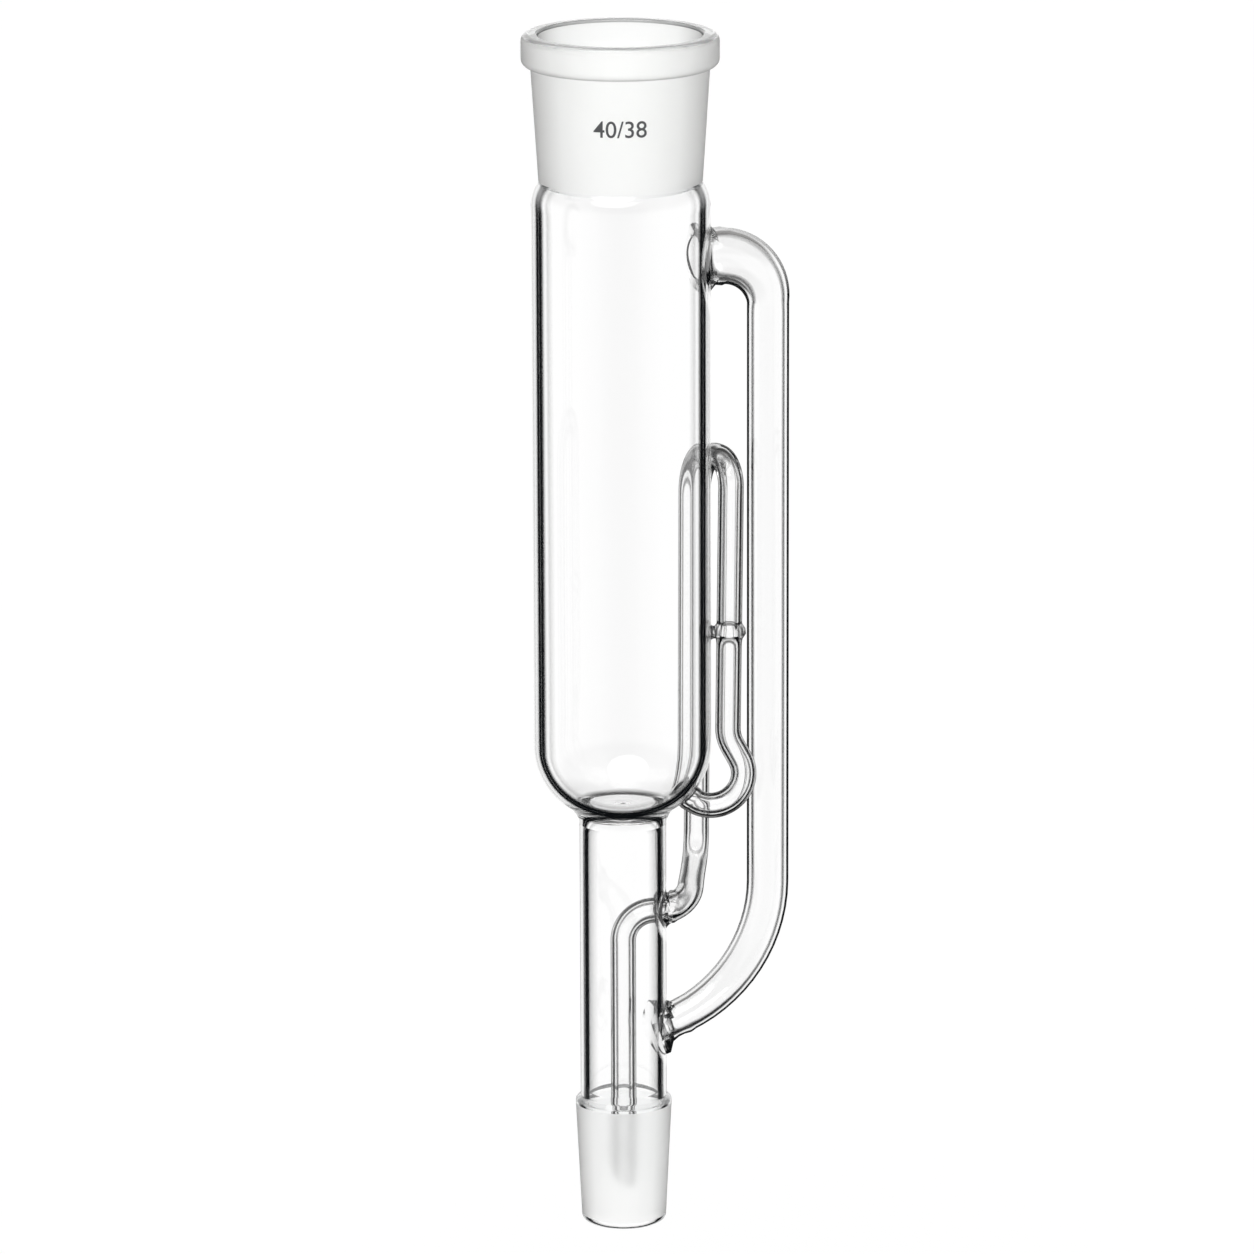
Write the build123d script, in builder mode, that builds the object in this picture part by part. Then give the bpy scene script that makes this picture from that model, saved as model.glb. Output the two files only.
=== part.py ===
from build123d import *
import math
import os

os.makedirs("parts", exist_ok=True)

# A Soxhlet extractor of borosilicate glass, in millimetres. +Z is up along the main axis, the origin
# is where the ground cone is widest, and the vapour tube stands on the +X side.

# Ground joints: both taper by one in ten on the diameter.
joint_taper = 0.1
socket_dia = 40.0  # ground bore of the socket, at the mouth
socket_ground = 38.0  # ground length of the socket
socket_foot_wall = 1.95  # at the waist, above the shoulder
socket_head_wall = 1.9  # beyond the mouth's bore, just under the rim
rim_width = 2.3  # of the rim beyond the socket under it
rim_height = 8.0
rim_roundness = 0.82  # corner radius as a share of the rim's width
mouth_round = 0.8  # inner edge of the mouth
cone_dia = 24.0  # ground cone, at its wide end
cone_ground = 29.0  # ground length of the cone
cone_wall = 2.1
cone_tip = 1.8  # fire-polished end below the ground length
tip_round = 1.6
cone_collar = 0.7  # clear glass between the ground length and the slope
collar_roundness = 0.7  # corner radius as a share of the collar's height
cone_shoulder = 1.9  # height above the ground length at which the lower tube starts
cone_bore_shoulder = 3.4  # and at which its bore starts

# Chamber for the thimble, and the lower tube under it.
chamber_dia = 44.0
chamber_wall = 2.2
chamber_height = 153.0  # from its lowest point, outside, to the shoulder
bottom_round = 18.0  # corner radius of the round bottom
shoulder_height = 5.5  # from the straight wall to the ground length of the socket
shoulder_curve = 4.5  # height over which the shoulder curves in, inside
waist_rise = 1.5  # the waist outside lies this far above the end of the ground bore
waist_round = 1.2
lower_dia = 21.5
lower_wall = 1.9
flare_share = 0.6  # of its round that the bore's flare runs, until the round bottom ends it
dome_round = 0.8  # inside corner under the chamber
lower_length = 72.1  # from the cone's shoulder to the chamber
seal_round = 7.0  # glass drawn up where the lower tube is ring-sealed to the chamber

# Vapour tube, drawn thinner from its neck down.
vapour_dia = 10.4
vapour_neck_dia = 13.9
vapour_foot_dia = 8.8
vapour_wall = 1.5
vapour_gap = 10.4  # between the chamber and the straight stretch
vapour_drop = 13.1  # from the top of the chamber's straight wall down to the neck
upper_bend = 12.2
foot_gap = 1.85  # between the lower tube and the end of the lower bend
foot_height = 19.85  # of that end above the origin
foot_slope = 18.0  # how steeply the tube climbs away from there
neck_fillet = 2.0
foot_fillet = 3.0

# Siphon: return bend, rising limb, arch and falling limb, then the drip tube inside the lower tube.
siphon_dia = 6.3
siphon_wall = 1.6
siphon_angle = -9.5  # bearing of the rising limb, seen from above, from the vapour tube
fall_angle = 29.6  # bearing of the falling limb
limb_gap_low = 1.15  # clear of the chamber at the foot of each limb
limb_gap_high = 2.05  # and at the arch, because the limbs lean out a little
arch_height = 89.0  # from the chamber's lowest point to the middle of the arch's tube
arch_radius_rise = 6.4
arch_radius_fall = 11.0
intake_angle = 48.0  # slope of the intake, square to the chamber's round bottom
intake_stub = 0.4
return_radius = 8.0
swing_angle = 28.0  # how far the return bend swings past upright
swing_radius = 9.0
turn_drop = 14.0  # below the chamber, where the falling limb turns in
turn_radius = 9.0
entry_drop = 24.7  # below the chamber, where the siphon enters the lower tube
entry_gap = 5.3  # between the lower tube and the corner before the entry
entry_radius = 9.0
drip_radius = 7.5
drip_end = -22.0  # height of the drip tip
drip_bevel = 13.0  # height of the slanting cut at the drip tip

# Swellings where the glass was sealed in the flame.
weld_round = 0.9
weld_proud = 0.35
entry_fillet = 1.2
bead_dia = 8.4
bead_height = 4.0
bead_level = 46.0  # of the bead above the chamber's lowest point
web_dia = 3.0  # bridge from the bead to the chamber

# Radii and levels that follow.
chamber_r = chamber_dia / 2
chamber_bore = chamber_r - chamber_wall
lower_r = lower_dia / 2
lower_bore = lower_r - lower_wall
cone_r = cone_dia / 2
cone_end_r = cone_r - cone_ground * joint_taper / 2
siphon_r = siphon_dia / 2
neck_r = vapour_neck_dia / 2
socket_foot_bore = (socket_dia - socket_ground * joint_taper) / 2
socket_foot_r = socket_foot_bore + socket_foot_wall
socket_head_r = socket_dia / 2 + socket_head_wall
rim_r = socket_head_r + rim_width
tip_z = -cone_ground - cone_tip
chamber_z = cone_shoulder + lower_length
shoulder_z = chamber_z + chamber_height
socket_z = shoulder_z + shoulder_height
mouth_z = socket_z + socket_ground
rim_z = mouth_z - rim_height
neck_z = shoulder_z - vapour_drop
seal_r = lower_r + seal_round
seal_z = chamber_z + bottom_round
seal_z -= math.sqrt((bottom_round + seal_round) ** 2 - (seal_r - chamber_r + bottom_round) ** 2)
flare_round = seal_round + lower_wall
flare_z = seal_z + flare_share * flare_round
waist_z = socket_z + waist_rise
curve_z = socket_z - shoulder_curve


def corner(sketch, x, z):
    """The vertex of an upright sketch that lies nearest to a radius and a height."""
    return sketch.vertices().sort_by_distance((x, z))[0]


def around(radius, angle, z):
    """A point at a radius and a bearing about the main axis."""
    bearing = math.radians(angle)
    return Vector(radius * math.cos(bearing), radius * math.sin(bearing), z)


def flare_point(z):
    """A point of a profile where the bore of the lower tube flares to follow the seal outside it."""
    return (seal_r - math.sqrt(flare_round**2 - (z - seal_z) ** 2), z)


def across(route, place):
    """The plane across a route, at a place from 0 to 1 along it."""
    return Plane(origin=route @ place, x_dir=(0, 1, 0), z_dir=route % place)


def wall_seam(part, radius, z, reach):
    """The edges where a side tube meets an upright wall of the given radius."""

    def near(edge):
        return edge.center().X > 0 and abs(edge.center().Z - z) < reach

    def on_wall(edge):
        spots = [edge @ place for place in (0, 0.3, 0.7)]
        return all(abs(math.hypot(spot.X, spot.Y) - radius) < 0.01 for spot in spots)

    return part.edges().filter_by(near).filter_by(on_wall)


# Route of the vapour tube: out of the chamber, round, straight down, and round into the lower tube.
vapour_x = chamber_r + vapour_gap + vapour_dia / 2
slope = math.radians(foot_slope)
foot_x = lower_r + foot_gap
lower_bend = (vapour_x - foot_x) / (1 - math.sin(slope))
lower_bend_z = foot_height + lower_bend * math.cos(slope)
foot_run = foot_x - lower_bore / 2

with BuildLine() as vapour_route:
    neck_line = Line((0, 0, neck_z), (vapour_x - upper_bend, 0, neck_z))
    upper_arc = ThreePointArc(
        neck_line @ 1,
        (vapour_x - upper_bend * (1 - math.sqrt(0.5)), 0, neck_z - upper_bend * (1 - math.sqrt(0.5))),
        (vapour_x, 0, neck_z - upper_bend),
    )
    fall_line = Line(upper_arc @ 1, (vapour_x, 0, lower_bend_z))
    half_turn = (math.pi / 2 - slope) / 2
    lower_arc = ThreePointArc(
        fall_line @ 1,
        (
            vapour_x - lower_bend * (1 - math.cos(half_turn)),
            0,
            lower_bend_z - lower_bend * math.sin(half_turn),
        ),
        (foot_x, 0, foot_height),
    )
    foot_line = Line(lower_arc @ 1, (foot_x - foot_run, 0, foot_height - foot_run * math.tan(slope)))

# Route of the siphon. The return bend lies in the upright plane through the intake.
limb_low = chamber_r + limb_gap_low + siphon_r
limb_high = chamber_r + limb_gap_high + siphon_r
arch_z = chamber_z + arch_height
dip = math.radians(intake_angle)
swing = math.radians(swing_angle)
intake_reach = chamber_r - bottom_round + (bottom_round + intake_stub) * math.cos(dip)
intake_z = chamber_z + bottom_round - (bottom_round + intake_stub) * math.sin(dip)
return_x = intake_reach + return_radius * math.sin(dip)
return_z = intake_z + return_radius * math.cos(dip)
swing_z = return_z + return_radius * math.sin(swing)
swing_z += (return_x + return_radius * math.cos(swing) - limb_low) / math.tan(swing)
turn_z = chamber_z - turn_drop
entry_z = chamber_z - entry_drop
limb_foot = around(limb_low, siphon_angle, swing_z)
limb_head = around(limb_high, siphon_angle, arch_z)


def on_bend(angle):
    """A point on the return bend, at an angle about its middle."""
    turn = math.radians(angle)
    reach = return_x + return_radius * math.cos(turn)
    return around(reach, siphon_angle, return_z + return_radius * math.sin(turn))


def limb_point(level):
    """A point on the rising limb, at a level above the chamber's lowest point."""
    share = (chamber_z + level - swing_z) / (arch_z - swing_z)
    return limb_foot + (limb_head - limb_foot) * share


def siphon_path(start):
    """The siphon's route from a point on the intake, above the bend's start by the given length."""
    inner = around(
        intake_reach - start * math.cos(dip), siphon_angle, intake_z + start * math.sin(dip)
    )
    with BuildLine() as route:
        Line(inner, on_bend(-90 - intake_angle))
        bend = ThreePointArc(on_bend(-90 - intake_angle), on_bend(-30), on_bend(swing_angle))
        FilletPolyline(
            bend @ 1,
            limb_foot,
            limb_head,
            around(limb_high, fall_angle, arch_z),
            around(limb_low, fall_angle, turn_z),
            around(lower_r + entry_gap, siphon_angle, entry_z),
            (0, 0, entry_z),
            (0, 0, drip_end),
            radius=(
                swing_radius,
                arch_radius_rise,
                arch_radius_fall,
                turn_radius,
                entry_radius,
                drip_radius,
            ),
        )
    return route.wires()[0]


def disc(plane, radius):
    """A round section, ready to be swept or extruded."""
    with BuildSketch(plane) as section:
        Circle(radius)
    return section.sketch


def vapour_tube(inset, start, mode):
    """The vapour tube's outer form or, inset by its wall, its bore."""
    wide = neck_r - inset
    narrow = vapour_dia / 2 - inset
    foot = vapour_foot_dia / 2 - inset
    neck_plane = Plane(origin=(start, 0, neck_z), x_dir=(0, 1, 0), z_dir=(1, 0, 0))
    extrude(disc(neck_plane, wide), amount=vapour_x - upper_bend - start, mode=mode)
    ends = [disc(across(upper_arc, 0), wide), disc(across(upper_arc, 1), narrow)]
    sweep(ends, path=upper_arc, multisection=True, mode=mode)
    extrude(disc(across(fall_line, 0), narrow), amount=fall_line.length, mode=mode)
    ends = [disc(across(lower_arc, 0), narrow), disc(across(lower_arc, 1), foot)]
    sweep(ends, path=lower_arc, multisection=True, mode=mode)
    extrude(disc(across(foot_line, 0), foot), amount=foot_line.length, mode=mode)


with BuildPart() as extractor:
    # Outside of the chamber with its socket, then of the lower tube with its cone.
    with BuildSketch(Plane.XZ) as outside:
        with BuildLine():
            Polyline((0, chamber_z), (chamber_r, chamber_z), (chamber_r, curve_z))
            TangentArc((chamber_r, curve_z), (socket_foot_r, waist_z), tangent=(0, 1))
            Polyline(
                (socket_foot_r, waist_z),
                (socket_head_r, rim_z),
                (rim_r, rim_z),
                (rim_r, mouth_z),
                (0, mouth_z),
                (0, chamber_z),
            )
        make_face()
        fillet(corner(outside, chamber_r, chamber_z), bottom_round)
        fillet(corner(outside, socket_foot_r, waist_z), waist_round)
        fillet(
            [corner(outside, rim_r, rim_z), corner(outside, rim_r, mouth_z)], rim_width * rim_roundness
        )
        with BuildLine():
            Polyline(
                (0, tip_z),
                (cone_end_r, tip_z),
                (cone_end_r, -cone_ground),
                (cone_r, 0),
                (cone_r, cone_collar),
                (lower_r, cone_shoulder),
                (lower_r, chamber_z + bottom_round / 2),
                (0, chamber_z + bottom_round / 2),
                close=True,
            )
        make_face()
        fillet(corner(outside, cone_end_r, tip_z), tip_round)
        fillet(corner(outside, cone_r, cone_collar), cone_collar * collar_roundness)
        fillet(corner(outside, lower_r, chamber_z), seal_round)
    revolve(axis=Axis.Z)

    # Outside of the vapour tube, with glass drawn up round both of its ends.
    vapour_tube(0, 0, Mode.ADD)
    fillet(wall_seam(extractor, chamber_r, neck_z, neck_r + neck_fillet), neck_fillet)
    fillet(wall_seam(extractor, lower_r, foot_height, vapour_foot_dia), foot_fillet)

    # Room for the thimble, up through the ground socket.
    with BuildSketch(Plane.XZ) as room:
        with BuildLine():
            Polyline(
                (0, chamber_z + chamber_wall),
                (chamber_bore, chamber_z + chamber_wall),
                (chamber_bore, curve_z),
            )
            TangentArc((chamber_bore, curve_z), (socket_foot_bore, socket_z), tangent=(0, 1))
            Polyline(
                (socket_foot_bore, socket_z),
                (socket_dia / 2, mouth_z),
                (0, mouth_z),
                (0, chamber_z + chamber_wall),
            )
        make_face()
        fillet(corner(room, chamber_bore, chamber_z + chamber_wall), bottom_round - chamber_wall)
    revolve(axis=Axis.Z, mode=Mode.SUBTRACT)
    mouth_edges = extractor.edges().filter_by(GeomType.CIRCLE).group_by(Axis.Z)[-1]
    fillet(mouth_edges.sort_by(SortBy.RADIUS)[0], mouth_round)

    # Bore of the lower tube and the cone. It flares at the seal and ends under the round bottom.
    with BuildSketch(Plane.XZ) as bore:
        with BuildLine():
            Polyline(
                flare_point(flare_z),
                (0, flare_z),
                (0, tip_z),
                (cone_end_r - cone_wall, tip_z),
                (cone_r - cone_wall, 0),
                (lower_bore, cone_bore_shoulder),
                (lower_bore, seal_z),
            )
            ThreePointArc(
                (lower_bore, seal_z), flare_point((seal_z + flare_z) / 2), flare_point(flare_z)
            )
        make_face()
        with Locations((chamber_r - bottom_round, chamber_z + bottom_round)):
            Circle(bottom_round, mode=Mode.SUBTRACT)
        dome_corner = bore.vertices().filter_by(lambda v: v.Y > seal_z + 1).sort_by(Axis.X)[-1]
        fillet(dome_corner, dome_round)
    revolve(axis=Axis.Z, mode=Mode.SUBTRACT)

    vapour_tube(vapour_wall, chamber_bore - neck_r, Mode.SUBTRACT)

    # Siphon tube, and the bead and web that prop its rising limb on the chamber.
    outer_path = siphon_path(chamber_wall / 2 + intake_stub)
    sweep(disc(Plane(origin=outer_path @ 0, z_dir=outer_path % 0), siphon_r), path=outer_path)
    with Locations(limb_point(bead_level)):
        Torus((bead_dia - bead_height) / 2, bead_height / 2)
    web_plane = Plane(
        origin=around(chamber_r - chamber_wall / 2, siphon_angle, chamber_z + bead_level),
        z_dir=around(1, siphon_angle, 0),
    )
    extrude(disc(web_plane, web_dia / 2), amount=limb_low - chamber_r)

    # The swelling at the vapour tube's neck, and the glass drawn up where the siphon enters.
    with Locations(across(neck_line, (chamber_r + neck_fillet) / neck_line.length)):
        Torus(neck_r + weld_proud - weld_round, weld_round)
    fillet(wall_seam(extractor, lower_r, entry_z, siphon_dia), entry_fillet)

    # Bore of the siphon, from the chamber to the slanting tip of the drip tube.
    bore_path = siphon_path(chamber_wall + intake_stub + siphon_r)
    bore_disc = disc(Plane(origin=bore_path @ 0, z_dir=bore_path % 0), siphon_r - siphon_wall)
    sweep(bore_disc, path=bore_path, mode=Mode.SUBTRACT)
    drip_cut = siphon_dia * 0.6
    cut_rise = drip_bevel / siphon_dia * drip_cut
    with BuildSketch(Plane.YZ):
        Polygon(
            (-drip_cut, drip_end - drip_bevel),
            (drip_cut, drip_end - drip_bevel),
            (drip_cut, drip_end + drip_bevel / 2 + cut_rise),
            (-drip_cut, drip_end + drip_bevel / 2 - cut_rise),
            align=None,
        )
    extrude(amount=drip_cut, both=True, mode=Mode.SUBTRACT)

extractor.part.label = "extractor_body"
export_step(extractor.part, "parts/extractor_body.step")
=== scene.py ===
# %% [markdown]
# # A Soxhlet extractor in clear borosilicate glass
#
# The extractor is one piece of glass: a ground socket over a round-bottomed chamber, a vapour tube
# and a siphon on its side, and a ground cone below. The CAD part gives its frame and its sizes. This
# lesson builds the same glass as one fine mesh, gives each region its finish, and lights it.
#
# Every size is written in millimetres, as in the drawing, and becomes metres when a mesh is made.

import math

import bmesh
import bpy
import numpy as np
from mathutils import Matrix, Vector


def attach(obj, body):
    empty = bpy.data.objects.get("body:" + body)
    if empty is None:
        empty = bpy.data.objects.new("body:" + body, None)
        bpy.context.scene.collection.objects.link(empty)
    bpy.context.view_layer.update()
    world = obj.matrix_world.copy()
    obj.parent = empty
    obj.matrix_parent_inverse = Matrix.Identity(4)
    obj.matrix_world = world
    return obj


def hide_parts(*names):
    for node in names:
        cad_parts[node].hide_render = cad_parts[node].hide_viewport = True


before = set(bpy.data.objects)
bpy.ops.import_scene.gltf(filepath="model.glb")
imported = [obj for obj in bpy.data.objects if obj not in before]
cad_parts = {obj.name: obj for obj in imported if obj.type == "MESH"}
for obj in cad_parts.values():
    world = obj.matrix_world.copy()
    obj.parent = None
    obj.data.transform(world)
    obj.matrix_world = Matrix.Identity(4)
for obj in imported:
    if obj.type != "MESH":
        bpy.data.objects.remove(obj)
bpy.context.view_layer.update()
MM = 0.001

# %% [markdown]
# ## Routes and rings
#
# Glass tubing is drawn along a route. A route is a chain of corners, each rounded to its own radius.
# A turned form is a profile of radius and height, carried round the main axis. Both end up as rings
# of points, and one function closes such rings into a solid.

# %% Route helpers
def unit(vector):
    """The vector at length one."""
    return vector / np.linalg.norm(vector)


def rounded(corners, radii, turn=5.0):
    """A chain of corners, with each inner corner rounded to its radius."""
    corners = [np.array(corner, float) for corner in corners]
    path = [corners[0]]
    for before, here, after, radius in zip(corners, corners[1:], corners[2:], radii):
        if radius == 0:
            path.append(here)
            continue
        back, ahead = unit(before - here), unit(after - here)
        half = math.acos(np.clip(back @ ahead, -1, 1)) / 2
        middle = here + unit(back + ahead) * radius / math.sin(half)
        spoke = here + back * radius / math.tan(half) - middle
        steps = max(2, math.ceil(math.degrees(math.pi - 2 * half) / turn))
        for angle in np.linspace(0, math.pi - 2 * half, steps + 1):
            path.append(middle + spoke * math.cos(angle) - back * radius * math.sin(angle))
    return path + [corners[-1]]


def arc(middle, radius, start, end, turn=5.0):
    """Points of an arc in a profile, between two angles in degrees."""
    steps = max(2, math.ceil(abs(end - start) / turn))
    angles = np.radians(np.linspace(start, end, steps + 1))
    return [np.array([middle[0] + radius * math.cos(a), middle[1] + radius * math.sin(a)]) for a in angles]


def leaning(start, end, turn=4.0):
    """An arc that leaves its start straight up and leans over to its end."""
    run, rise = end[0] - start[0], end[1] - start[1]
    radius = (run**2 + rise**2) / (2 * run)
    angle = math.degrees(math.asin(rise / abs(radius)))
    side = 180 if radius > 0 else 0
    return arc((start[0] + radius, start[1]), abs(radius), side, side - math.copysign(angle, radius), turn)


def divided(path, step):
    """The path with no stretch longer than the step, and no point twice."""
    points = [np.array(path[0], float)]
    for end in path[1:]:
        start = points[-1]
        length = np.linalg.norm(end - start)
        if length < 1e-3:
            continue
        parts = math.ceil(length / step)
        points += [start + (end - start) * k / parts for k in range(1, parts + 1)]
    return np.array(points)


def around(radius, angle, z):
    """A point at a radius and a bearing about the main axis."""
    return np.array([radius * math.cos(math.radians(angle)), radius * math.sin(math.radians(angle)), z])


# %% Mesh helpers
def closed(name, points, faces, slot_index):
    """An object from the points and faces of a closed form, with all the glass slots."""
    mesh = bpy.data.meshes.new(name)
    mesh.from_pydata(points.tolist(), [], faces)
    work = bmesh.new()
    work.from_mesh(mesh)
    bmesh.ops.recalc_face_normals(work, faces=work.faces)
    work.to_mesh(mesh)
    work.free()
    for material in glass:
        mesh.materials.append(material)
    mesh.polygons.foreach_set("material_index", [slot_index] * len(mesh.polygons))
    obj = bpy.data.objects.new(name, mesh)
    bpy.context.collection.objects.link(obj)
    return obj


def solid(name, rings, first, last, slot_index):
    """A closed mesh through rings of points, between two end points."""
    count = rings.shape[1]
    points = np.vstack([rings.reshape(-1, 3), [first], [last]]) * MM
    faces = []
    for ring in range(len(rings) - 1):
        low = ring * count
        for k in range(count):
            nxt = (k + 1) % count
            faces.append((low + k, low + nxt, low + count + nxt, low + count + k))
    top = (len(rings) - 1) * count
    for k in range(count):
        nxt = (k + 1) % count
        faces.append((nxt, k, len(points) - 2))
        faces.append((top + k, top + nxt, len(points) - 1))
    return closed(name, points, faces, slot_index)


def turned(name, profile, slot_index, count=192, step=4.0):
    """A solid turned about the main axis from a profile that starts and ends on it."""
    profile = divided(profile, step)
    angles = np.linspace(0, 2 * math.pi, count, endpoint=False)
    radius, height = profile[1:-1, 0][:, None], profile[1:-1, 1][:, None]
    rings = np.stack(
        [radius * np.cos(angles), radius * np.sin(angles), height + 0 * angles], axis=2
    )
    return solid(name, rings, (0, 0, profile[0, 1]), (0, 0, profile[-1, 1]), slot_index)


def drawn(name, path, radii, slot_index, count=48, flares=()):
    """A round rod drawn along a path.

    Each flare swells it near a wall, with glass drawn up over its reach and a low ring of its own
    place, rise and width.
    """
    ahead = np.gradient(path, axis=0)
    ahead /= np.linalg.norm(ahead, axis=1)[:, None]
    side = np.cross(ahead[0], (0.3, 0.9, 0.2))
    angles = np.linspace(0, 2 * math.pi, count, endpoint=False)
    rings = []
    for point, forward, radius in zip(path, ahead, radii):
        side = unit(side - forward * (side @ forward))
        across = np.cross(forward, side)
        spokes = np.outer(np.cos(angles), side) + np.outer(np.sin(angles), across)
        ring = point + spokes * radius
        for distance, reach, ring_at, ring_rise, ring_width in flares:
            away = distance(ring)
            near = np.clip(reach - away, 0, reach)
            swell = reach - np.sqrt(reach**2 - near**2)
            swell += ring_rise * np.exp(-(((away - ring_at) / ring_width) ** 2))
            ring = ring + spokes * swell[:, None]
        rings.append(ring)
    return solid(name, np.array(rings), path[0], path[-1], slot_index)


def combine(base, other, operation):
    """The base joined with the other solid, or cut by it. The other is used up."""
    change = base.modifiers.new("combine", "BOOLEAN")
    change.operation = operation
    change.solver = SOLVER
    change.object = other
    shaped = bpy.data.meshes.new_from_object(base.evaluated_get(bpy.context.evaluated_depsgraph_get()))
    base.modifiers.clear()
    base.data = shaped
    bpy.data.objects.remove(other)
    print(operation, "leaves", len(shaped.polygons), "faces")


SOLVER = "MANIFOLD"

# %% [markdown]
# ## Materials
#
# All of it is borosilicate glass 3.3, with an index of refraction of 1.474. Against a white ground a
# clear tube shows as dark lines along its edges. There the sight line runs through the wall
# lengthways and is thrown far to the side. Here those lines are painted shade: a ramp on the facing
# angle mixes a dark diffuse colour into the glass. Where they fall depends only on how the wall
# compares with the radius, so each tube has its own bands across the facing angle.

# %% Material helpers
# Painted light: how much of the painted shade is lifted on faces turning upward and near the seals.
UPWARD_LIGHT = 0.75
SEAL_LIGHT = 0.85


def linear(code):
    """A linear colour from an sRGB hex code."""
    parts = [int(code[k : k + 2], 16) / 255 for k in (1, 3, 5)]
    return [c / 12.92 if c <= 0.04045 else ((c + 0.055) / 1.055) ** 2.4 for c in parts] + [1.0]


def add(tree, kind, **inputs):
    """A new node, with its sockets set to values or linked from other sockets."""
    node = tree.nodes.new(kind)
    for key, value in inputs.items():
        socket = node.inputs[int(key[1:])] if key[0] == "_" else node.inputs[key.replace("_", " ")]
        if isinstance(value, bpy.types.NodeSocket):
            tree.links.new(value, socket)
        else:
            socket.default_value = value
    return node


def fresh(name):
    """A new material, with its empty tree and its output node."""
    material = bpy.data.materials.new(name)
    material.use_nodes = True
    material.node_tree.nodes.clear()
    return material, material.node_tree, material.node_tree.nodes.new("ShaderNodeOutputMaterial")


def ramp(tree, factor, stops):
    """A colour ramp through (position, hex code) stops."""
    node = add(tree, "ShaderNodeValToRGB", Fac=factor)
    elements = node.color_ramp.elements
    while len(elements) < len(stops):
        elements.new(0.5)
    for element, (position, code) in zip(elements, stops):
        element.position = position
    for element, (position, code) in zip(elements, stops):
        element.color = linear(code)
    return node.outputs["Color"]


def borosilicate(name, shade_bands, seals=()):
    """Clear glass with painted shade. Its bands say how much clear glass each facing angle keeps, the rest a
    dark diffuse colour; faces turning upward and faces near its seals keep more, as painted light.
    """
    material, tree, output = fresh(name)
    # Painted shade: the facing angle picks the dark bands.
    facing = add(tree, "ShaderNodeLayerWeight", Blend=0.5).outputs["Facing"]
    painted_bands = ramp(tree, facing, shade_bands)
    # Painted light: faces that turn upward keep more of the clear glass, as if lit from above.
    normal = add(tree, "ShaderNodeNewGeometry").outputs["Normal"]
    upward = add(tree, "ShaderNodeSeparateXYZ", _0=normal).outputs["Z"]
    lit = add(tree, "ShaderNodeMath", _0=upward, _1=UPWARD_LIGHT)
    lit.operation = "MULTIPLY"
    lit.use_clamp = True
    lit = lit.outputs[0]
    place = add(tree, "ShaderNodeNewGeometry").outputs["Position"]
    # Painted light: near each seal the painted shade is lifted.
    for centre, near, far in seals:
        away = add(tree, "ShaderNodeVectorMath", _0=place, _1=[c * MM for c in centre])
        away.operation = "DISTANCE"
        close = add(
            tree, "ShaderNodeMapRange", Value=away.outputs["Value"], From_Min=near * MM,
            From_Max=far * MM, To_Min=SEAL_LIGHT, To_Max=0.0,
        )
        most = add(tree, "ShaderNodeMath", _0=lit, _1=close.outputs[0])
        most.operation = "MAXIMUM"
        lit = most.outputs[0]
    kept = add(tree, "ShaderNodeMix", _0=lit, _2=painted_bands, _3=1.0).outputs[0]
    body = add(
        tree, "ShaderNodeBsdfPrincipled",
        Base_Color=linear("#FFFFFF"), Roughness=0.0, IOR=1.474, Transmission_Weight=1.0,
    )
    # Painted shade: the near-black diffuse colour that the bands mix into the glass.
    painted_dark = add(tree, "ShaderNodeBsdfDiffuse", Color=linear("#0C0E10"))
    edged = add(tree, "ShaderNodeMixShader", _0=kept, _1=painted_dark.outputs[0], _2=body.outputs[0])
    light_path = add(tree, "ShaderNodeLightPath")
    through = add(tree, "ShaderNodeBsdfTransparent", Color=linear("#F0F2F3"))
    mixed = add(
        tree, "ShaderNodeMixShader",
        _0=light_path.outputs["Is Shadow Ray"], _1=edged.outputs[0], _2=through.outputs[0],
    )
    tree.links.new(mixed.outputs[0], output.inputs["Surface"])
    return material


def ground(name, shade_stops):
    """Ground glass: rough all over, and greyer where it turns away, which is painted shade."""
    material, tree, output = fresh(name)
    # Painted shade: a ramp on the facing angle greys the glass towards its edges.
    facing = add(tree, "ShaderNodeLayerWeight", Blend=0.5).outputs["Facing"]
    painted_shade = ramp(tree, facing, shade_stops)
    rough = add(
        tree, "ShaderNodeBsdfPrincipled",
        Base_Color=painted_shade, Roughness=0.5, IOR=1.474, Transmission_Weight=1.0,
    )
    scattered = add(tree, "ShaderNodeBsdfDiffuse", Color=painted_shade)
    frosted = add(tree, "ShaderNodeMixShader", _0=0.25, _1=rough.outputs[0], _2=scattered.outputs[0])
    light_path = add(tree, "ShaderNodeLightPath")
    through = add(tree, "ShaderNodeBsdfTransparent", Color=linear("#E4E6E7"))
    mixed = add(
        tree, "ShaderNodeMixShader",
        _0=light_path.outputs["Is Shadow Ray"], _1=frosted.outputs[0], _2=through.outputs[0],
    )
    tree.links.new(mixed.outputs[0], output.inputs["Surface"])
    return material


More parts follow.
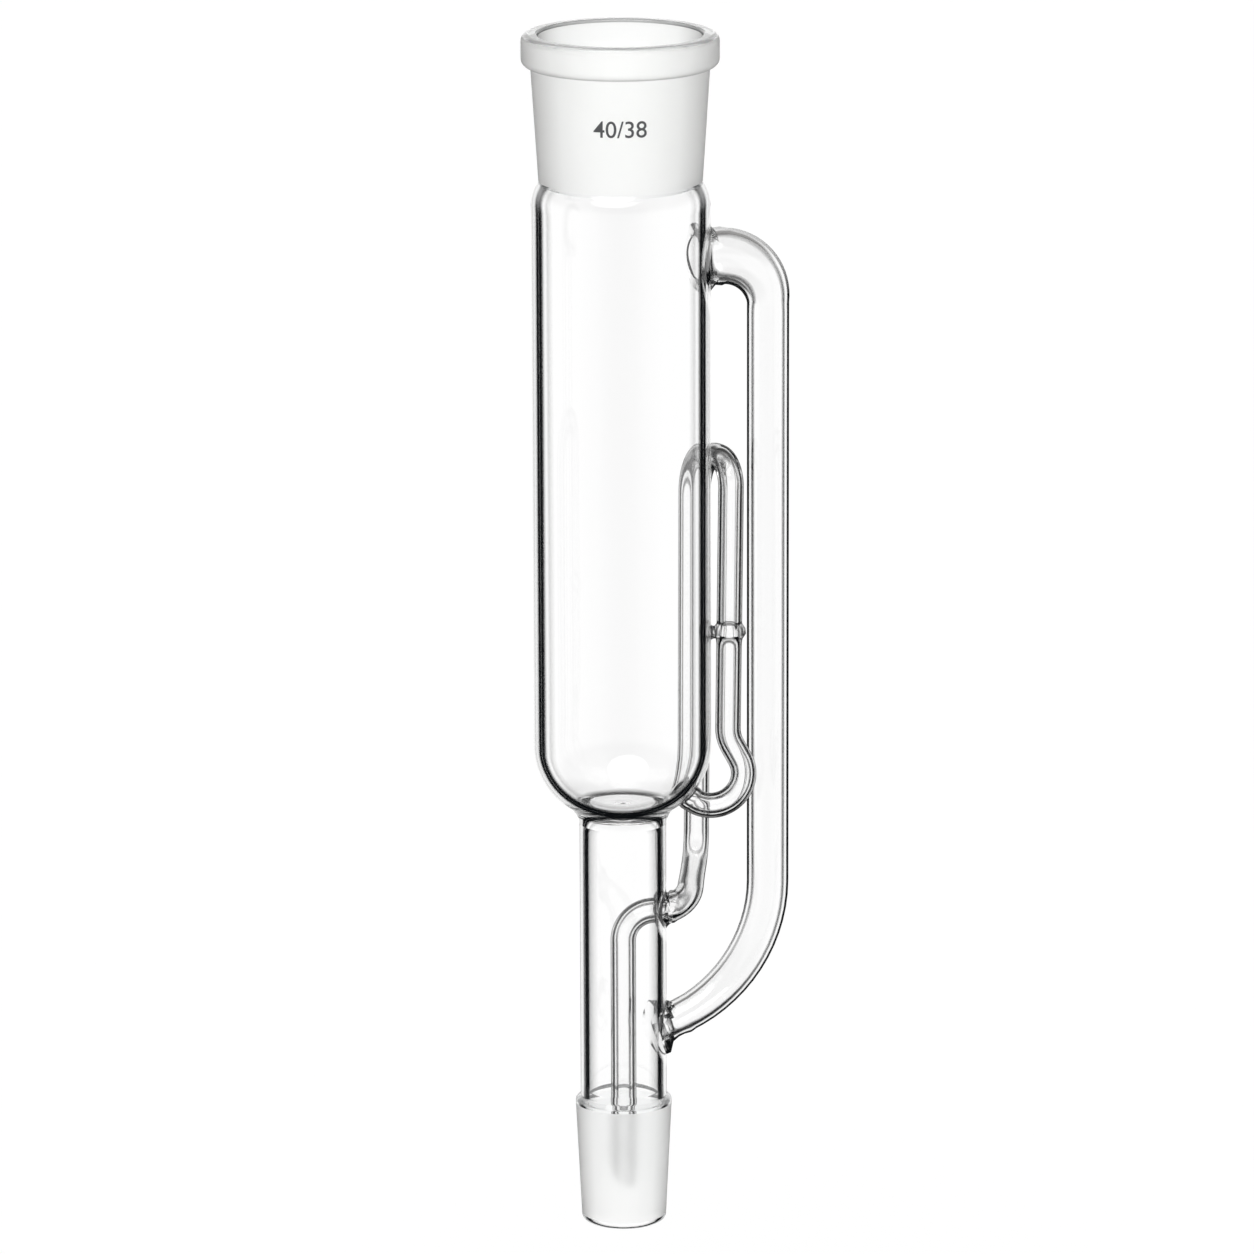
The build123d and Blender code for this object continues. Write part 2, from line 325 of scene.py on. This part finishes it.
# %% Borosilicate glass 3.3, clear and ground
WHITE = "#FFFFFF"
CHAMBER, LOWER, VAPOUR, SIPHON, BORE, GROUND, EDGE = range(7)
NECK, FOOT, ENTRY = (22.0, 0.0, 213.9), (10.7, 0.0, 18.7), (10.6, -1.8, 49.3)
glass = [
    # Chamber: a wall of a tenth of the radius, so one dark band of painted shade near the edge.
    borosilicate("borosilicate_chamber", [
        (0.0, "#F9FBFD"), (0.06, WHITE), (0.36, WHITE), (0.43, "#DADCDE"), (0.465, "#F8F8F8"),
        (0.49, "#F0F0F0"), (0.53, "#686868"), (0.55, "#141414"), (0.585, "#141414"), (0.6, "#585858"),
        (0.615, "#101010"), (0.655, "#181818"), (0.69, "#D0D0D0"), (0.74, "#F0F0F0"), (0.8, "#D8D8D8"),
        (0.9, WHITE), (1.0, WHITE),
    ], [(NECK, 15.2, 16.4)]),
    # Lower tube: a thicker wall for its radius, so the painted dark band is wider.
    borosilicate("borosilicate_lower_tube", [
        (0.0, WHITE), (0.22, WHITE), (0.34, "#D4D8DC"), (0.4, "#B0B4B8"), (0.43, "#141414"),
        (0.52, "#101010"), (0.56, "#606060"), (0.61, "#8A8A8A"), (0.66, "#F0F0F0"), (0.8, WHITE),
        (0.9, "#B0B0B0"), (1.0, "#D0D0D0"),
    ], [(FOOT, 9.4, 10.6), (ENTRY, 7.6, 8.6)]),
    # Vapour tube: a painted grey line over the edge of the bore, and a painted dark line at the very edge.
    borosilicate("borosilicate_vapour_tube", [
        (0.0, "#FAFCFE"), (0.1, WHITE), (0.24, WHITE), (0.3, "#A8A8A8"), (0.35, "#6C6C6C"), (0.4, "#C8C8C8"),
        (0.45, WHITE), (0.54, "#F4F4F4"), (0.59, "#202020"), (0.9, "#080808"), (0.96, "#808080"),
        (1.0, "#F0F0F0"),
    ]),
    # Siphon: a narrow bore in a thick wall, so its painted dark lines lie well inside.
    borosilicate("borosilicate_siphon", [
        (0.0, WHITE), (0.11, "#FAFAFA"), (0.15, "#8A8A8A"), (0.19, "#7A7A7A"), (0.23, "#F0F0F0"),
        (0.3, "#F8F8F8"), (0.33, "#181818"), (0.43, "#0C0C0C"), (0.47, "#E8E8E8"), (0.68, "#F8F8F8"),
        (0.74, "#484848"), (0.9, "#303030"), (1.0, "#909090"),
    ]),
    # Inner faces of every wall, with painted shade darker towards grazing angles.
    borosilicate("borosilicate_bore", [(0.0, WHITE), (0.8, WHITE), (0.93, "#C0C0C0"), (1.0, "#606060")]),
    # Ground glass, with painted shade greyer towards grazing angles.
    ground("borosilicate_ground", [
        (0.0, "#FBFBFA"), (0.3, "#F2F2F1"), (0.62, "#C6C5C4"), (1.0, "#7A7978"),
    ]),
    # Fire-polished edge of the mouth, which throws light aside at every angle: painted shade, grey face-on
    # and dark at grazing angles.
    borosilicate("borosilicate_edge", [(0.0, "#B0B0B0"), (0.5, "#404040"), (1.0, "#202020")]),
]
print("materials", [material.name for material in glass])

# %% [markdown]
# ## Sizes
#
# They are the drawing's sizes: ground joints 40/38 and 24/29, a chamber of 44 mm, a lower tube of
# 21.5 mm, a vapour tube of about 10 mm and a siphon of 6.3 mm.

# %% Driving sizes, in millimetres
chamber_r, chamber_bore, bottom_round = 22.0, 19.8, 18.0
lower_r, lower_bore = 10.75, 8.85
cone_r, cone_end_r, cone_bore, tip_bore = 12.0, 10.55, 9.9, 8.45
tip_z, ground_z, shoulder_z, chamber_z = -30.8, -29.0, 3.4, 74.0
tip_round, collar_z, collar_top_z = 1.6, 0.7, 1.9
curve_z, socket_z, rim_z, mouth_z = 228.0, 232.5, 262.5, 270.5
socket_foot_z, socket_foot_r, socket_head_r, rim_r = 234.0, 20.05, 21.9, 24.2
socket_foot_bore, mouth_r, mouth_round, rim_round = 18.1, 20.0, 0.8, 1.9
joint_slope = 0.05
seal_round, lower_wall = 7.0, 1.9
neck_z, vapour_x, upper_bend, lower_bend = 213.9, 37.6, 12.2, 36.18
foot_x, foot_height, foot_slope = 12.6, 19.85, math.radians(18.0)
taper_z = 56.0
neck_r, vapour_r, foot_r, vapour_wall = 6.95, 5.2, 4.4, 1.5
siphon_r, siphon_bore = 3.15, 1.55
rise_angle, fall_angle = -9.5, 29.6
swing_radius, arch_radius_rise, arch_radius_fall = 9.0, 6.4, 11.0
turn_radius, entry_radius, drip_radius = 9.0, 9.0, 7.5
entry_gap, siphon_step = 5.3, 1.3

# %% [markdown]
# ## Chamber, socket, lower tube and cone
#
# One profile gives the outside. Two more cut the chamber's room and the bore of the lower tube. The
# outside of the round bottom runs into the lower tube over a seal drawn up in the flame.

# %% Outside of the glass
seal_z = chamber_z + bottom_round - math.sqrt(
    (bottom_round + seal_round) ** 2 - (lower_r + seal_round - chamber_r + bottom_round) ** 2
)
seal_middle = (lower_r + seal_round, seal_z)
bottom_middle = (chamber_r - bottom_round, chamber_z + bottom_round)
seal_turn = math.degrees(
    math.atan2(bottom_middle[1] - seal_middle[1], bottom_middle[0] - seal_middle[0])
)
below = rounded(
    [(0, tip_z), (cone_end_r, tip_z), (cone_end_r, ground_z), (cone_r, 0), (cone_r, collar_z),
     (lower_r, collar_top_z), (lower_r, seal_z)],
    [tip_round, 0, 0, 0.49, 0.5], turn=12,
)
bottom = arc(seal_middle, seal_round, 180, seal_turn)
bottom += arc(bottom_middle, bottom_round, seal_turn - 180, 0)

shoulder = leaning((chamber_r, curve_z), (socket_foot_r, socket_foot_z))[:-1]
above = rounded(
    [shoulder[-1], (socket_foot_r, socket_foot_z), (socket_head_r, rim_z), (rim_r, rim_z),
     (rim_r, mouth_z), (0, mouth_z)],
    [0.8, 0.5, rim_round, rim_round], turn=10,
)
above = [np.array([chamber_r, chamber_z + bottom_round])] + shoulder[:-1] + above
body = turned("extractor_glass", below + bottom + above, CHAMBER)
print("outside", len(body.data.polygons), "faces")

# %% [markdown]
# ## Routes of the vapour tube and the siphon
#
# The vapour tube leaves the chamber, turns down, and bends back into the lower tube. The siphon
# starts at the chamber's lowest side, bends up, passes over its arch and comes down beside the
# vapour tube. It turns into the lower tube and ends there as the drip tube.

# %% Vapour tube's route
lower_corner = (vapour_x, 0, foot_height + (vapour_x - foot_x) * math.tan(foot_slope))
foot_run = foot_x - lower_bore / 2
vapour_end = (foot_x - foot_run, 0, foot_height - foot_run * math.tan(foot_slope))


def vapour_tube(name, inset, start, slot_index, count, flares=()):
    """The vapour tube, or its bore when it is inset by its wall."""
    route = [(start, 0, neck_z), (vapour_x, 0, neck_z), lower_corner, vapour_end]
    path = divided(rounded(route, [upper_bend, lower_bend]), 2.0)
    drop = np.clip((neck_z - path[:, 2]) / upper_bend, 0, 1)
    rise = np.clip((path[:, 0] - foot_x) / (vapour_x - foot_x), 0, 1) * (path[:, 2] < neck_z - upper_bend)
    rise[path[:, 2] >= taper_z] = 1
    radii = neck_r + (vapour_r - neck_r) * drop
    radii = np.where(path[:, 2] < taper_z, foot_r + (vapour_r - foot_r) * rise, radii)
    return drawn(name, path, radii - inset, slot_index, count, flares)


# %% Siphon's route
bead_z = chamber_z + 46.0
arch_z, turn_z, entry_z, drip_end = 163.0, 60.0, 49.3, -22.0
limb_low, limb_high = 26.3, 27.2
dip, bend_r, swing = math.radians(48.0), 8.0, math.radians(28.0)
bend_start, bend_end = -138, 28
intake_reach = chamber_r - bottom_round + (bottom_round + 0.4) * math.cos(dip)
intake_z = chamber_z + bottom_round - (bottom_round + 0.4) * math.sin(dip)
bend_x, bend_z = intake_reach + bend_r * math.sin(dip), intake_z + bend_r * math.cos(dip)
swing_run = bend_x + bend_r * math.cos(swing) - limb_low
swing_z = bend_z + bend_r * math.sin(swing) + swing_run / math.tan(swing)


def siphon_path(start):
    """The siphon's route, from inside the chamber's wall to the drip tip."""
    route = [around(intake_reach - start * math.cos(dip), rise_angle, intake_z + start * math.sin(dip))]
    for angle in np.radians(np.linspace(bend_start, bend_end, 34)):
        out = bend_x + bend_r * math.cos(angle)
        route.append(around(out, rise_angle, bend_z + bend_r * math.sin(angle)))
    straight = [0] * (len(route) - 1)
    route += [
        around(limb_low, rise_angle, swing_z),
        around(limb_high, rise_angle, arch_z),
        around(limb_high, fall_angle, arch_z),
        around(limb_low, fall_angle, turn_z),
        around(lower_r + entry_gap, rise_angle, entry_z),
        np.array([0, 0, entry_z]),
        np.array([0, 0, drip_end]),
    ]
    bends = [swing_radius, arch_radius_rise, arch_radius_fall, turn_radius, entry_radius, drip_radius]
    return divided(rounded(route, straight + bends), siphon_step)


# %% Distances from the walls, for the glass drawn up at each seal
def from_chamber(ring):
    """How far each point of a ring is outside the chamber, at the height of the neck."""
    return np.hypot(ring[:, 0], ring[:, 1]) - chamber_r + 50 * (ring[:, 2] < 190)


def from_lower(ring):
    """As from_chamber, with the glass drawn further out along the underside of the tube."""
    axis_z = foot_height + (ring[:, 0] - foot_x) * math.tan(foot_slope)
    side = np.clip((ring[:, 2] - axis_z) / foot_r, -1, 1)
    away = np.hypot(ring[:, 0], ring[:, 1]) - lower_r
    return away * (0.9 + 0.25 * side) + 50 * (ring[:, 2] > 70)


def from_lower_outside(ring):
    """As from_lower, but far away inside the bore, where the drip tube stays plain."""
    away = np.hypot(ring[:, 0], ring[:, 1]) - lower_r
    return np.where(away < -1.9, 50, away) + 50 * (ring[:, 2] > 70)


def from_bottom(ring):
    """How far each point of a ring is outside the chamber's round bottom."""
    out = np.hypot(ring[:, 0], ring[:, 1]) - bottom_middle[0]
    return np.hypot(out, ring[:, 2] - bottom_middle[1]) - bottom_round + 50 * (ring[:, 2] > 86)


def entry_swell(path):
    """How far the siphon has widened, from 0 to 1, on its last bend before the lower tube."""
    away = np.hypot(path[:, 0], path[:, 1]) - lower_r
    return np.clip(1 - away / 10, 0, 1) * (away > -0.6) * (path[:, 2] < 62)


# %% Vapour tube joined on, then the room and the bores cut
neck_flare = (from_chamber, 2.0, 3.0, 0.4, 0.7)
foot_flare = (from_lower, 3.0, 4.2, 0.25, 0.6)
combine(body, vapour_tube("vapour", 0, 0, VAPOUR, 56, [neck_flare, foot_flare]), "UNION")

chamber_wall = 2.2
room_z, room_round = chamber_z + chamber_wall, bottom_round - chamber_wall
round_z, past_mouth_z = mouth_z - mouth_round, 272.0
room = rounded([(0, room_z), (chamber_bore, room_z), (chamber_bore, curve_z)], [room_round], turn=6)
room += leaning((chamber_bore, curve_z), (socket_foot_bore, socket_z))
room += [np.array([mouth_r - joint_slope * mouth_round, round_z])]
room += arc((mouth_r + mouth_round, round_z), mouth_round, 180, 95, turn=17)
room += [np.array([mouth_r + mouth_round, past_mouth_z]), np.array([0, past_mouth_z])]
combine(body, turned("room", room, BORE), "DIFFERENCE")

polish = 0.8
bore = [np.array([0, tip_z - 2.0]), np.array([tip_bore + polish, tip_z - 2.0])]
bore += arc((tip_bore + polish, tip_z + polish), polish, 265, 180, turn=17)
bore += rounded(
    [(tip_bore + 0.04, tip_z + 0.9), (cone_bore, 0), (lower_bore, shoulder_z), (lower_bore, seal_z)],
    [0.6, 1.2], turn=12,
)
flare = arc(seal_middle, seal_round + lower_wall, 180, 120, turn=3)
ceiling_end = -math.degrees(math.acos(-bottom_middle[0] / bottom_round))
ceiling = arc(bottom_middle, bottom_round, -60, ceiling_end, turn=3)
flare = [point for point in flare if np.linalg.norm(point - bottom_middle) > bottom_round + 0.4]
ceiling = [point for point in ceiling if point[0] < flare[-1][0] - 0.3]
bore += flare + ceiling + [np.array([0, ceiling[-1][1]])]
combine(body, turned("lower_bore", bore, BORE, count=128), "DIFFERENCE")
combine(body, vapour_tube("vapour_bore", vapour_wall, chamber_bore - neck_r, BORE, 48), "DIFFERENCE")

# %% Siphon joined on, and its bore cut down to the slanting tip
outer = siphon_path(1.5)
bead_half, bead_core = 2.0, 2.2
in_bead = (np.abs(outer[:, 2] - bead_z) < bead_half) & (outer[:, 1] < 2.0) & (outer[:, 0] > 20)
barrel = bead_core + 2.0 * np.sqrt(np.clip(1 - ((outer[:, 2] - bead_z) / bead_half) ** 2, 0, 1))
radii = np.where(in_bead, np.maximum(siphon_r, barrel), siphon_r) + 0.6 * entry_swell(outer)
entry_flare = (from_lower_outside, 1.2, 1.7, 0.4, 0.5)
intake_flare = (from_bottom, 0.8, 1.3, 0.25, 0.6)
combine(body, drawn("siphon", outer, radii, SIPHON, 44, [entry_flare, intake_flare]), "UNION")
web = np.array([around(r, rise_angle, bead_z) for r in (20.9, 21.8, 22.6, 23.6, 24.8, 26.3)])
combine(body, drawn("web", web, [2.4, 2.1, 1.6, 1.6, 2.0, 2.2], SIPHON, 32), "UNION")
inner = siphon_path(2.2 + 0.4 + siphon_r)
combine(body, drawn("siphon_bore", inner, siphon_bore + 0.8 * entry_swell(inner), BORE, 28), "DIFFERENCE")

cut_half, cut_rise, cut_middle = 3.78, 7.8, drip_end + 6.5
corners = [
    (x, y, z)
    for x in (-cut_half, cut_half)
    for y, z in (
        (-cut_half, drip_end - 13.0), (cut_half, drip_end - 13.0),
        (cut_half, cut_middle + cut_rise), (-cut_half, cut_middle - cut_rise),
    )
]
wedge = closed(
    "wedge", np.array(corners) * MM,
    [(0, 1, 2, 3), (4, 7, 6, 5), (0, 4, 5, 1), (1, 5, 6, 2), (2, 6, 7, 3), (3, 7, 4, 0)], SIPHON,
)
combine(body, wedge, "DIFFERENCE")

# %% Regions and shading
centres = np.empty(len(body.data.polygons) * 3)
body.data.polygons.foreach_get("center", centres)
centres = centres.reshape(-1, 3) / MM
slots = np.empty(len(body.data.polygons), int)
body.data.polygons.foreach_get("material_index", slots)
height = centres[:, 2]
lower_top_z, ground_foot_z, ground_head_z = 72.0, 234.3, mouth_z - 0.6
slots[(slots == CHAMBER) & (height < lower_top_z)] = LOWER
slots[(slots == LOWER) & (height < 0) & (height > ground_z)] = GROUND
slots[(slots == CHAMBER) & (height > ground_foot_z) & (height < ground_head_z)] = GROUND
slots[(slots == BORE) & (height > socket_z) & (height < round_z)] = GROUND
slots[(slots == BORE) & (height > round_z)] = EDGE
body.data.polygons.foreach_set("material_index", slots.astype(np.int32))
body.data.polygons.foreach_set("use_smooth", [True] * len(body.data.polygons))
body.data.set_sharp_from_angle(angle=math.radians(32))
body.data.update()
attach(body, "root")
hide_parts("extractor_body")
print("glass", len(body.data.polygons), "faces", {k: int((slots == k).sum()) for k in range(7)})

# %% [markdown]
# ## Marking
#
# The socket carries its joint size in small grey figures, printed on the outside.

# %% Joint size on the socket
enamel, tree, output = fresh("grey_glass_enamel")
paint = add(tree, "ShaderNodeBsdfPrincipled", Base_Color=linear("#4A4B4D"), Roughness=0.55)
tree.links.new(paint.outputs[0], output.inputs["Surface"])
bpy.ops.object.text_add()
figures = bpy.context.object
figures.data.body = "40/38"
figures.data.align_x = "CENTER"
figures.data.align_y = "CENTER"
figures.data.size = 5.8 * MM
figures.data.offset = 0.025 * MM
figures.data.extrude = 0.02 * MM
bpy.ops.object.convert(target="MESH")
figures = bpy.context.object
figures.name = "joint_size_figures"
front, mark_z, print_lift = math.radians(-106), 250.2, 0.03
for vertex in figures.data.vertices:
    x, y, depth = vertex.co
    z = mark_z + y / MM
    up = (z - socket_foot_z) / (rim_z - socket_foot_z)
    radius = socket_foot_r + up * (socket_head_r - socket_foot_r) + print_lift
    angle = front + x / MM / radius
    radius += depth / MM
    vertex.co = Vector((radius * math.cos(angle), radius * math.sin(angle), z)) * MM
figures.data.materials.append(enamel)
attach(figures, "root")
print("figures", len(figures.data.vertices), "vertices")

# %% [markdown]
# ## Room, light and camera
#
# The room is white round the horizon and dimmer overhead, as in a tent of white cloth. The floor
# lies below the cone, since an extractor hangs in its flask or its clamp and can't stand by itself.

# %% White floor with a faint shadow
floor_size, floor_z = 30, -0.08
bpy.ops.mesh.primitive_plane_add(size=floor_size, location=(0, 0, floor_z))
floor = bpy.context.object
floor.name = "floor"
paper, tree, output = fresh("white_paper")
path_kind = add(tree, "ShaderNodeLightPath")
seen = add(
    tree, "ShaderNodeMath",
    _0=path_kind.outputs["Is Glossy Ray"], _1=path_kind.outputs["Is Transmission Ray"],
)
seen.operation = "MAXIMUM"
matt = add(tree, "ShaderNodeBsdfDiffuse", Color=linear("#F6F6F6"))
bright = add(tree, "ShaderNodeEmission", Color=linear(WHITE), Strength=1.03)
lit = add(tree, "ShaderNodeMixShader", _0=0.85, _1=matt.outputs[0], _2=bright.outputs[0])
open_air = add(tree, "ShaderNodeBsdfTransparent")
mixed = add(tree, "ShaderNodeMixShader", _0=seen.outputs[0], _1=lit.outputs[0], _2=open_air.outputs[0])
tree.links.new(mixed.outputs[0], output.inputs["Surface"])
floor.data.materials.append(paper)
print("floor", floor_size, "m across, at", floor_z, "m")

# %% Room
world = bpy.data.worlds.new("white_tent")
bpy.context.scene.world = world
world.use_nodes = True
world.node_tree.nodes.clear()
direction = add(world.node_tree, "ShaderNodeTexCoord").outputs["Generated"]
height_part = add(world.node_tree, "ShaderNodeSeparateXYZ", _0=direction).outputs["Z"]
level = add(world.node_tree, "ShaderNodeMath", _0=height_part, _1=0.5, _2=0.5)
level.operation = "MULTIPLY_ADD"
sky = ramp(world.node_tree, level.outputs[0], [
    (0.0, "#323232"), (0.13, "#4C4C4C"), (0.22, WHITE), (0.585, WHITE), (0.7, "#8E8D8C"), (1.0, "#A2A1A0"),
])
background = add(world.node_tree, "ShaderNodeBackground", Color=sky, Strength=1.0)
room_output = world.node_tree.nodes.new("ShaderNodeOutputWorld")
world.node_tree.links.new(background.outputs[0], room_output.inputs["Surface"])
print("room", world.name)

# %% Soft light from above
bpy.ops.object.light_add(type="SUN", rotation=(math.radians(22), math.radians(-14), 0))
sun = bpy.context.object
sun.data.energy = 2.0
sun.data.angle = math.radians(50)
print("sun of", sun.data.energy, "W per square metre")

# %% Camera
turn, tilt = math.radians(16.0), math.radians(13.8)
right = Vector((math.cos(turn), -math.sin(turn), 0))
ahead = Vector((math.sin(turn), math.cos(turn), 0)) * math.cos(tilt) - Vector((0, 0, math.sin(tilt)))
upward = right.cross(ahead)
lean = Matrix.Rotation(math.radians(0.19), 4, ahead)
target = Vector((0, 0, 0.122)) + right * 0.0012
distance = 2.06
camera_data = bpy.data.cameras.new("camera")
camera_data.lens = 239.5
camera_data.sensor_width = 36.0
camera_data.clip_end = 100.0
camera = bpy.data.objects.new("camera", camera_data)
bpy.context.collection.objects.link(camera)
basis = Matrix((lean.to_3x3() @ right, lean.to_3x3() @ upward, -ahead)).transposed().to_4x4()
camera.matrix_world = Matrix.Translation(target - ahead * distance) @ basis
bpy.context.scene.camera = camera
bpy.context.scene.view_settings.view_transform = "Standard"
bpy.context.scene.cycles.max_bounces = 32
bpy.context.scene.cycles.transmission_bounces = 32
bpy.context.scene.cycles.glossy_bounces = 16
print("camera of", camera_data.lens, "mm, at", distance, "m")
